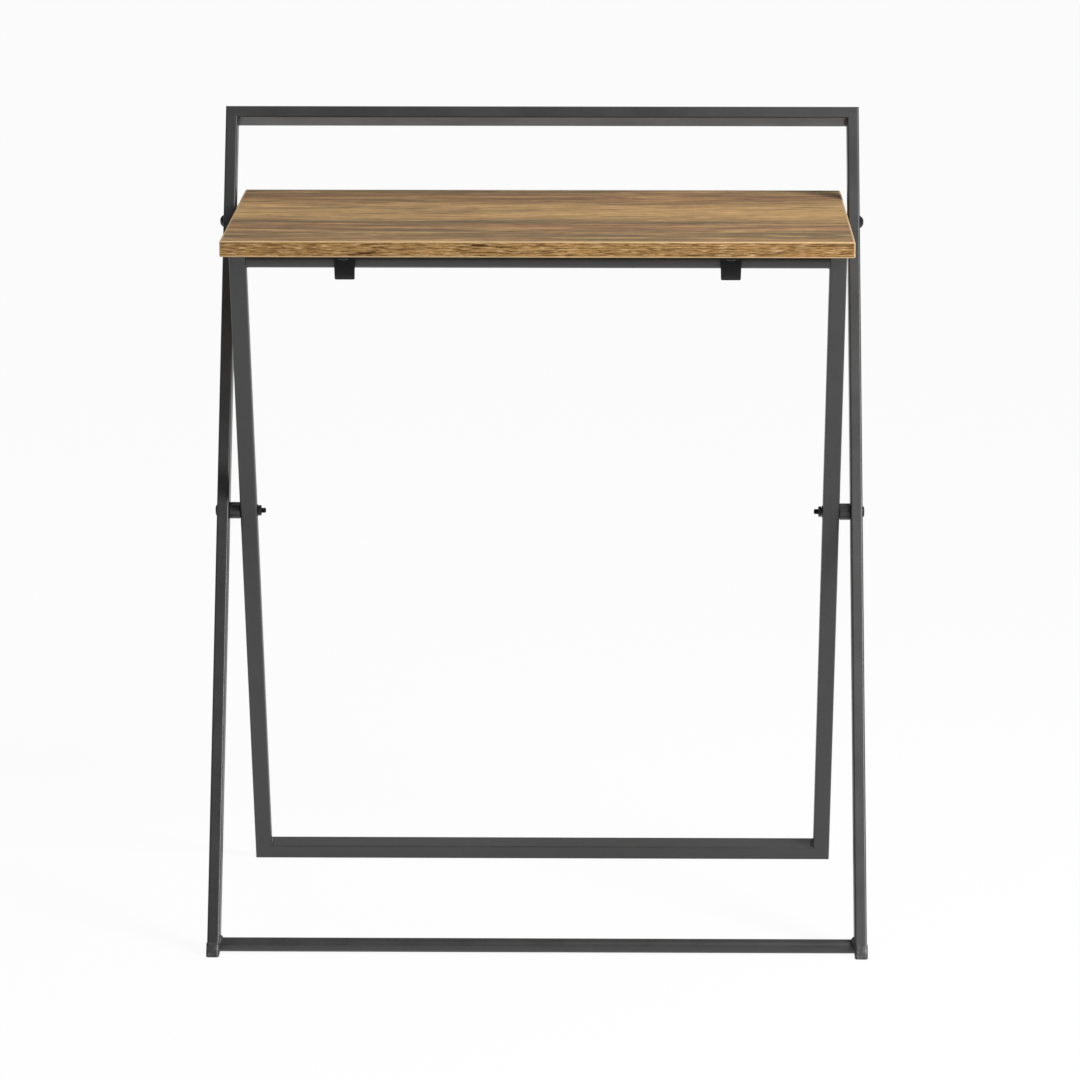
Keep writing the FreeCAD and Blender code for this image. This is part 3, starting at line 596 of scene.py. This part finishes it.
def spun(shape, profile):
    """Turn (along X, radius) points into a form about the X axis."""
    points = [shape.verts.new((along, radius, 0.0)) for along, radius in profile]
    edges = [shape.edges.new(pair) for pair in zip(points, points[1:])]
    bmesh.ops.spin(shape, geom=points + edges, cent=(0.0, 0.0, 0.0), axis=(1.0, 0.0, 0.0),
                   angle=math.tau, steps=TURN_STEPS, use_merge=True)
    bmesh.ops.remove_doubles(shape, verts=shape.verts, dist=MERGE_WITHIN)


def helix(shape, start, end, crest, root, pitch):
    """A screw thread about the X axis, closed at both ends."""
    count = 2 * round((end - start) / pitch)
    points = [shape.verts.new((start + step * pitch / 2, root if step % 2 else crest, 0.0))
              for step in range(count)]
    edges = [shape.edges.new(pair) for pair in zip(points, points[1:])]
    bmesh.ops.spin(shape, geom=points + edges, cent=(0.0, 0.0, 0.0), axis=(1.0, 0.0, 0.0),
                   dvec=(pitch / TURN_STEPS, 0.0, 0.0), angle=math.tau, steps=TURN_STEPS)
    bmesh.ops.remove_doubles(shape, verts=shape.verts, dist=MERGE_WITHIN)
    bmesh.ops.holes_fill(shape, edges=[edge for edge in shape.edges if edge.is_boundary])


def hexagon(across):
    """Radius by angle of a hexagon with a corner at the top."""
    def outline(angle):
        return across / 2 / math.cos((angle + math.pi / 6) % (math.pi / 3) - math.pi / 6)
    return outline


def cross(reach, half_width):
    """Radius by angle of a cross recess."""
    def outline(angle):
        folded = abs((angle + math.pi / 4) % (math.pi / 2) - math.pi / 4)
        side = half_width / math.sin(folded) if folded > RECESS_ARM_MIDDLE else math.inf
        return min(reach / math.cos(folded), side)
    return outline


def reshape_ring(shape, along, radius, outline):
    """Move one ring of a turned form onto an outline."""
    for vert in shape.verts:
        reach = math.hypot(vert.co.y, vert.co.z)
        if abs(vert.co.x - along) < RING_WITHIN and abs(reach - radius) < RING_WITHIN:
            share = outline(math.atan2(vert.co.z, vert.co.y)) / radius
            vert.co.y *= share
            vert.co.z *= share


def cut_flats(shape, ring, across, face, start, end):
    """Give a turned nut six flats, with its corners chamfered as by a cone."""
    outline = hexagon(across)
    for vert in shape.verts:
        if abs(math.hypot(vert.co.y, vert.co.z) - ring) < RING_WITHIN:
            reach = outline(math.atan2(vert.co.z, vert.co.y))
            fall = (reach - face) * NUT_CHAMFER_SLOPE
            vert.co.x = start + fall if abs(vert.co.x - start) < abs(vert.co.x - end) else end - fall
            vert.co.y *= reach / ring
            vert.co.z *= reach / ring


def hexagon_nut(sizes, kind, side, height=None):
    """Plain hexagon nut on its seat, chamfered on both faces, as high as its node or lower."""
    low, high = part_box(f"{kind}_right")
    across = high.y - low.y
    ring = across / math.sqrt(3.0)
    face = NUT_FACE * across
    bore = sizes.bolt_radius + BORE_PLAY
    end = high.x - height if height else low.x
    shape = bmesh.new()
    spun(shape, [
        (high.x, bore),
        (high.x, face),
        (high.x - NUT_RIM, ring),
        (end + NUT_RIM, ring),
        (end, face),
        (end, bore + NUT_COUNTERSINK),
        (end + NUT_COUNTERSINK, bore),
        (high.x, bore),
    ])
    cut_flats(shape, ring, across, face, end, high.x)
    to_side(shape, side, (low.y + high.y) / 2, (low.z + high.z) / 2)
    return shape


def threaded_end(shape, sizes, tip, inner):
    """Thread from a bolt's tip to inside its nut, with a chamfered tip."""
    root = sizes.bolt_radius - sizes.thread_depth
    helix(shape, tip + THREAD_START, inner, sizes.bolt_radius, root, sizes.thread_pitch)
    spun(shape, [
        (tip, 0.0),
        (tip, TIP_FLAT * root),
        (tip + TIP_CHAMFER, root),
        (inner, root),
        (inner, 0.0),
    ])


def bead(shape, corner, first, second, size, ripple, length, turn=0.0, centre=(0.0, 0.0, 0.0),
         run=(0.0, 0.0, 0.0)):
    """A rippled weld bead in a corner between two directions, turned about X or run straight."""
    corner, first, second, run = Vector(corner), Vector(first), Vector(second), Vector(run)
    steps = round(length / ripple * RINGS_PER_RIPPLE)
    points = [shape.verts.new(corner + (first * out + second * up) * size) for out, up in BEAD_OUTLINE]
    edges = [shape.edges.new(pair) for pair in zip(points, points[1:] + points[:1])]
    before = len(shape.verts) - len(points)
    bmesh.ops.spin(shape, geom=points + edges, cent=centre, axis=(1.0, 0.0, 0.0),
                   dvec=run * (length / steps), angle=turn, steps=steps)
    shape.verts.ensure_lookup_table()
    pivot = Matrix.Translation(centre)
    for step in range(steps + 1):
        share = step / steps
        taper = min(1.0, BEAD_END + BEAD_END_SLOPE * min(share, 1.0 - share))
        swell = 1.0 + RIPPLE_SWELL * math.cos(step * math.tau / RINGS_PER_RIPPLE)
        swell += UNEVEN_SWELL * math.sin(UNEVEN_RATE * step)
        moved = pivot @ Matrix.Rotation(turn * share, 4, "X") @ pivot.inverted()
        foot = moved @ corner + run * (length * share)
        ring = shape.verts[before + step * len(points):before + (step + 1) * len(points)]
        bmesh.ops.scale(shape, vec=[taper * swell] * 3, space=Matrix.Translation(-foot), verts=ring)
    bmesh.ops.holes_fill(shape, edges=[edge for edge in shape.edges if edge.is_boundary])


def finished(shape, name, material, body, slot, *nodes):
    """Make a mesh object that rides on a body, takes a finish and stands for CAD nodes; the slot is not
    used.
    """
    bmesh.ops.recalc_face_normals(shape, faces=shape.faces)
    mesh = bpy.data.meshes.new(name)
    shape.to_mesh(mesh)
    shape.free()
    mesh.materials.append(material)
    mesh.shade_smooth()
    mesh.set_sharp_from_angle(angle=SHARP_ANGLE)
    item = bpy.data.objects.new(name, mesh)
    bpy.context.scene.collection.objects.link(item)
    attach(item, body)
    if nodes:
        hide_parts(*nodes)


def to_side(shape, side, y=0.0, z=0.0):
    """Mirror a right-hand shape for the left side, and set it on its axis."""
    bmesh.ops.scale(shape, vec=(SIDES[side], 1.0, 1.0), verts=shape.verts)
    bmesh.ops.translate(shape, vec=(0.0, y, z), verts=shape.verts)


def shared(maker, *values):
    """A finish made once and used again."""
    return bpy.data.materials.get(maker.__name__) or maker(*values)


# Helper for the stage

def lamp(data, place):
    """Place a lamp so that it points at the desk's middle."""
    middle = (Vector(CAD_BOX[0]) + Vector(CAD_BOX[1])) / 2
    item = bpy.data.objects.new(data.name, data)
    item.location = place
    item.visible_camera = False
    item.rotation_euler = (middle - Vector(place)).to_track_quat("-Z", "Y").to_euler()
    bpy.context.scene.collection.objects.link(item)


# Operators

class DESK_OT_frame_finish(bpy.types.Operator):
    """Paint the tubes of both frames"""
    bl_idname = "desk.frame_finish"
    bl_label = "Paint Frames"

    def execute(self, context):
        dress(powder_coat(context.scene.desk_frame_finish), *FRAME_NODES)
        return {"FINISHED"}


class DESK_OT_hardware_finish(bpy.types.Operator):
    """Finish the fasteners, brackets, hooks and moulded pieces"""
    bl_idname = "desk.hardware_finish"
    bl_label = "Finish Hardware"

    def execute(self, context):
        finish = context.scene.desk_frame_finish
        dress(black_sheet(finish), *paired("hook", "hinge_bracket"))
        fasteners = paired("pivot_bolt", "pivot_nut", "pivot_washer", "hinge_bolt", "hinge_nut",
                           "hook_screw", "bracket_screws")
        dress(shared(blackened_steel, finish), *fasteners)
        dress(moulded_plastic(finish), *paired("foot_cap", "inner_leg_cap"))
        dress(glossy_nylon(finish), *paired("pivot_spacer", "hinge_washer"))
        return {"FINISHED"}


class DESK_OT_board_finish(bpy.types.Operator):
    """Give the board its laminate and edge bands"""
    bl_idname = "desk.board_finish"
    bl_label = "Finish Board"

    def execute(self, context):
        finish = context.scene.desk_board_finish
        dress(laminate(finish), "board_core")
        dress(edge_band(finish, "edge_band_along", "X"), "edge_band_front", "edge_band_back")
        dress(edge_band(finish, "edge_band_across", "Y"), "edge_band_left", "edge_band_right")
        return {"FINISHED"}


class DESK_OT_pivot_fasteners(bpy.types.Operator):
    """Turn the pivot bolts with socket heads and threads, and their thin nuts"""
    bl_idname = "desk.pivot_fasteners"
    bl_label = "Make Pivot Fasteners"

    def execute(self, context):
        sizes = context.scene.desk_fasteners
        steel = shared(blackened_steel, context.scene.desk_frame_finish)
        for side in SIDES:
            finished(self.bolt(sizes, side), f"pivot_bolt_turned_{side}", steel,
                     "outer_frame", "black_steel", f"pivot_bolt_{side}")
            finished(hexagon_nut(sizes, "pivot_nut", side, sizes.pivot_nut_height),
                     f"pivot_hexagon_nut_{side}", steel,
                     "outer_frame", "black_steel", f"pivot_nut_{side}")
        return {"FINISHED"}

    def bolt(self, sizes, side):
        """Low head with a hexagon socket, plain shank and threaded tail."""
        low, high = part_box("pivot_bolt_right")
        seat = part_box("outer_leg_right")[1].x
        nut_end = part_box("pivot_nut_right")[1].x
        head = (high.y - low.y) / 2
        height = high.x - seat
        socket = sizes.pivot_socket / math.sqrt(3.0)
        floor = high.x - LOW_SOCKET_DEPTH * height
        shape = bmesh.new()
        spun(shape, [
            (floor, 0.0),
            (floor, socket),
            (high.x, socket),
            *((high.x - fall * height, reach * head) for fall, reach in LOW_HEAD),
            (seat, sizes.bolt_radius),
            (nut_end, sizes.bolt_radius),
            (nut_end, 0.0),
        ])
        for along in (floor, high.x):
            reshape_ring(shape, along, socket, hexagon(sizes.pivot_socket))
        threaded_end(shape, sizes, low.x, nut_end)
        to_side(shape, side, (low.y + high.y) / 2, (low.z + high.z) / 2)
        return shape


class DESK_OT_hinge_fasteners(bpy.types.Operator):
    """Turn the domed hinge bolts and their nuts"""
    bl_idname = "desk.hinge_fasteners"
    bl_label = "Make Hinge Fasteners"

    def execute(self, context):
        sizes = context.scene.desk_fasteners
        steel = shared(blackened_steel, context.scene.desk_frame_finish)
        for side in SIDES:
            finished(self.bolt(sizes, side), f"hinge_bolt_domed_{side}", steel,
                     "outer_frame", "black_steel", f"hinge_bolt_{side}")
            finished(hexagon_nut(sizes, "hinge_nut", side), f"hinge_hexagon_nut_{side}", steel,
                     "outer_frame", "black_steel", f"hinge_nut_{side}")
        return {"FINISHED"}

    def bolt(self, sizes, side):
        """Dome head with a hexagon socket."""
        low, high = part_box("hinge_bolt_right")
        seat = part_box("outer_leg_right")[1].x
        nut_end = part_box("hinge_nut_right")[1].x
        head = (high.y - low.y) / 2
        rise = high.x - seat - sizes.dome_rim
        socket = sizes.hinge_socket / math.sqrt(3.0)
        depth = (rise ** 2 + head ** 2 - socket ** 2) / (2 * rise)
        ball = math.hypot(depth, socket)
        start, end = math.asin(socket / ball), math.asin(head / ball)
        angles = [start + (end - start) * step / DOME_STEPS for step in range(DOME_STEPS + 1)]
        dome = [(high.x - depth + ball * math.cos(angle), ball * math.sin(angle)) for angle in angles]
        floor = high.x - DOME_SOCKET_DEPTH * rise
        shape = bmesh.new()
        spun(shape, [
            (floor, 0.0),
            (floor, socket),
            *dome,
            (seat, head),
            (seat, sizes.bolt_radius),
            (nut_end, sizes.bolt_radius),
            (nut_end, 0.0),
        ])
        for along in (floor, dome[0][0]):
            reshape_ring(shape, along, socket, hexagon(sizes.hinge_socket))
        threaded_end(shape, sizes, low.x, nut_end)
        to_side(shape, side, (low.y + high.y) / 2, (low.z + high.z) / 2)
        return shape


class DESK_OT_screws(bpy.types.Operator):
    """Turn the pan-head screws of hooks and brackets"""
    bl_idname = "desk.screws"
    bl_label = "Make Screws"

    def execute(self, context):
        sizes = context.scene.desk_fasteners
        steel = shared(blackened_steel, context.scene.desk_frame_finish)
        for side in SIDES:
            for node, name in ((f"hook_screw_{side}", f"hook_pan_screw_{side}"),
                               (f"bracket_screws_{side}", f"bracket_pan_screws_{side}")):
                finished(self.row(sizes, node), name, steel, "tabletop", "black_steel", node)
        return {"FINISHED"}

    def row(self, sizes, node):
        """Every screw of a node: one in the middle, or one at each end of a long box."""
        low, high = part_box(node)
        head = (high.x - low.x) / 2
        middle = (low.x + high.x) / 2
        ends = sorted({round(low.y + head, 6), round(high.y - head, 6)})
        whole = bmesh.new()
        for y in ends:
            self.screw(whole, sizes, head, high.z - low.z, (middle, y, low.z))
        return whole

    def screw(self, whole, sizes, head, length, tip):
        """One screw with its head down at a point: pan head, cross recess and pointed shank."""
        height = SCREW_HEAD_HEIGHT * head
        reach = RECESS_REACH * head
        half_width = RECESS_ARM_SLOPE * reach
        floor = -RECESS_DEPTH * height
        floor_reach = RECESS_FLOOR * reach
        shape = bmesh.new()
        spun(shape, [
            (floor, 0.0),
            (floor, floor_reach),
            (0.0, reach),
            *((-fall * height, share * head) for fall, share in PAN_HEAD),
            (-height, sizes.screw_radius),
            (-SCREW_POINT_START * length, sizes.screw_radius),
            (-length, 0.0),
        ])
        reshape_ring(shape, floor, floor_reach, cross(floor_reach, RECESS_FLOOR * half_width))
        reshape_ring(shape, 0.0, reach, cross(reach, half_width))
        bmesh.ops.rotate(shape, cent=(0.0, 0.0, 0.0), matrix=Matrix.Rotation(math.pi / 2, 3, "Y"),
                         verts=shape.verts)
        bmesh.ops.translate(shape, vec=tip, verts=shape.verts)
        joined = bpy.data.meshes.new("screw")
        shape.to_mesh(joined)
        shape.free()
        whole.from_mesh(joined)
        bpy.data.meshes.remove(joined)


class DESK_OT_welds(bpy.types.Operator):
    """Lay weld beads where the tubes meet"""
    bl_idname = "desk.welds"
    bl_label = "Lay Welds"

    def execute(self, context):
        welds = context.scene.desk_welds
        paint = shared(weld_paint, context.scene.desk_frame_finish)
        outer_up = Vector((0.0, math.sin(LEAN), math.cos(LEAN)))
        inner_up = Vector((0.0, -math.sin(LEAN), math.cos(LEAN)))
        joints = (
            ("cross_bar_weld", "outer_frame", self.round_joint,
             ("outer_cross_bar", outer_up, welds.cross_bar_turn, welds.bead)),
            ("rail_weld", "inner_frame", self.round_joint,
             ("inner_top_rail", -inner_up, welds.rail_turn, welds.rail_bead)),
            ("top_bar_weld", "outer_frame", self.corner_joint,
             ("outer_top_bar", "outer_leg_right", -outer_up)),
            ("foot_bar_weld", "inner_frame", self.corner_joint,
             ("inner_foot_bar", "inner_leg_right", inner_up)),
        )
        for side in SIDES:
            for name, body, lay, values in joints:
                shape = lay(welds, *values)
                to_side(shape, side)
                finished(shape, f"{name}_{side}", paint, body, "frame_paint")
        return {"FINISHED"}

    def round_joint(self, welds, bar, towards, turn, size):
        """Part of a ring round a bar's end, its middle towards a direction."""
        low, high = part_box(bar)
        middle = (low + high) / 2
        radius = (high.z - low.z) / 2
        end = Vector((high.x, middle.y, middle.z))
        out = Matrix.Rotation(-turn / 2, 3, "X") @ towards
        shape = bmesh.new()
        bead(shape, end + out * radius, out, (-1.0, 0.0, 0.0), size, welds.ripple, radius * turn, turn=turn,
             centre=end)
        return shape

    def corner_joint(self, welds, bar, leg, towards):
        """A straight bead across the tubes' inside corner."""
        low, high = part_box(bar)
        leg_low, leg_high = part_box(leg)
        thick = leg_high.x - leg_low.x
        across = Vector((0.0, towards.z, -towards.y))
        depth = ((high.z - low.z) - thick * math.cos(LEAN)) / math.sin(LEAN)
        run = max(depth, thick) - 2 * welds.corner_margin
        middle = (low + high) / 2
        corner = Vector((leg_low.x, middle.y, middle.z)) + towards * (thick / 2) - across * (run / 2)
        shape = bmesh.new()
        bead(shape, corner, (-1.0, 0.0, 0.0), towards, welds.bead, welds.ripple, run, run=across)
        return shape


class DESK_OT_stage(bpy.types.Operator):
    """Set the floor, lamps, sky and camera"""
    bl_idname = "desk.stage"
    bl_label = "Set Stage"

    def execute(self, context):
        scene = context.scene
        stage = scene.desk_stage
        self.floor(stage)
        self.sky(scene, stage)
        self.lamps(stage)
        self.camera(scene, stage)
        scene.view_settings.view_transform = "Standard"
        return {"FINISHED"}

    def floor(self, stage):
        """A wide level floor under the feet."""
        mesh = bpy.data.meshes.new("studio_floor")
        shape = bmesh.new()
        bmesh.ops.create_grid(shape, x_segments=1, y_segments=1, size=stage.floor_size)
        shape.to_mesh(mesh)
        shape.free()
        mesh.materials.append(studio_floor(stage))
        item = bpy.data.objects.new("studio_floor", mesh)
        bpy.context.scene.collection.objects.link(item)

    def lamps(self, stage):
        """A broad far key from the front right, and softer near lamps at the right and above."""
        key = bpy.data.lights.new("key_lamp", "SUN")
        key.energy = stage.key_strength
        key.angle = stage.key_softness
        lamp(key, stage.key_place)
        for name, power, width, place in (
            ("side_lamp", stage.side_power, stage.side_width, stage.side_place),
            ("overhead_lamp", stage.overhead_power, stage.overhead_width, stage.overhead_place),
        ):
            soft = bpy.data.lights.new(name, "AREA")
            soft.shape = "SQUARE"
            soft.size = width
            soft.energy = power
            lamp(soft, place)

    def sky(self, scene, stage):
        """An even pale surround."""
        world = bpy.data.worlds.new("studio_sky")
        world.use_nodes = True
        scene.world = world
        background = world.node_tree.nodes["Background"]
        background.inputs["Color"].default_value = (1.0, 1.0, 1.0, 1.0)
        background.inputs["Strength"].default_value = stage.ambient

    def camera(self, scene, stage):
        """A long lens in front and a little above."""
        data = bpy.data.cameras.new("desk_camera")
        data.lens = stage.lens
        item = bpy.data.objects.new("desk_camera", data)
        item.location = stage.camera_place
        item.rotation_euler = (math.pi / 2 - stage.camera_pitch, 0.0, stage.camera_turn)
        scene.collection.objects.link(item)
        scene.camera = item


class DESK_PT_sidebar(bpy.types.Panel):
    """Desk pieces, finishes and stage"""
    bl_idname = "DESK_PT_sidebar"
    bl_label = "Folding Desk"
    bl_space_type = "VIEW_3D"
    bl_region_type = "UI"
    bl_category = "Desk"

    def draw(self, context):
        layout = self.layout
        for operator in OPERATORS:
            layout.operator(operator.bl_idname)
        for owner in SETTINGS:
            group = getattr(context.scene, owner)
            box = layout.box()
            for name in group.__annotations__:
                box.prop(group, name)


SETTINGS = {
    "desk_frame_finish": DeskFrameFinish,
    "desk_board_finish": DeskBoardFinish,
    "desk_fasteners": DeskFasteners,
    "desk_welds": DeskWelds,
    "desk_stage": DeskStage,
}
OPERATORS = (DESK_OT_frame_finish, DESK_OT_hardware_finish, DESK_OT_board_finish, DESK_OT_pivot_fasteners,
             DESK_OT_hinge_fasteners, DESK_OT_screws, DESK_OT_welds, DESK_OT_stage)


def register():
    for owner, group in SETTINGS.items():
        bpy.utils.register_class(group)
        setattr(bpy.types.Scene, owner, bpy.props.PointerProperty(type=group))
    for operator in OPERATORS:
        bpy.utils.register_class(operator)
    bpy.utils.register_class(DESK_PT_sidebar)


def unregister():
    bpy.utils.unregister_class(DESK_PT_sidebar)
    for operator in reversed(OPERATORS):
        bpy.utils.unregister_class(operator)
    for owner, group in reversed(SETTINGS.items()):
        delattr(bpy.types.Scene, owner)
        bpy.utils.unregister_class(group)


def main():
    """Build every piece and the stage."""
    register()
    bpy.ops.desk.frame_finish()
    bpy.ops.desk.hardware_finish()
    bpy.ops.desk.board_finish()
    bpy.ops.desk.pivot_fasteners()
    bpy.ops.desk.hinge_fasteners()
    bpy.ops.desk.screws()
    bpy.ops.desk.welds()
    bpy.ops.desk.stage()


if __name__ == "__main__":
    main()
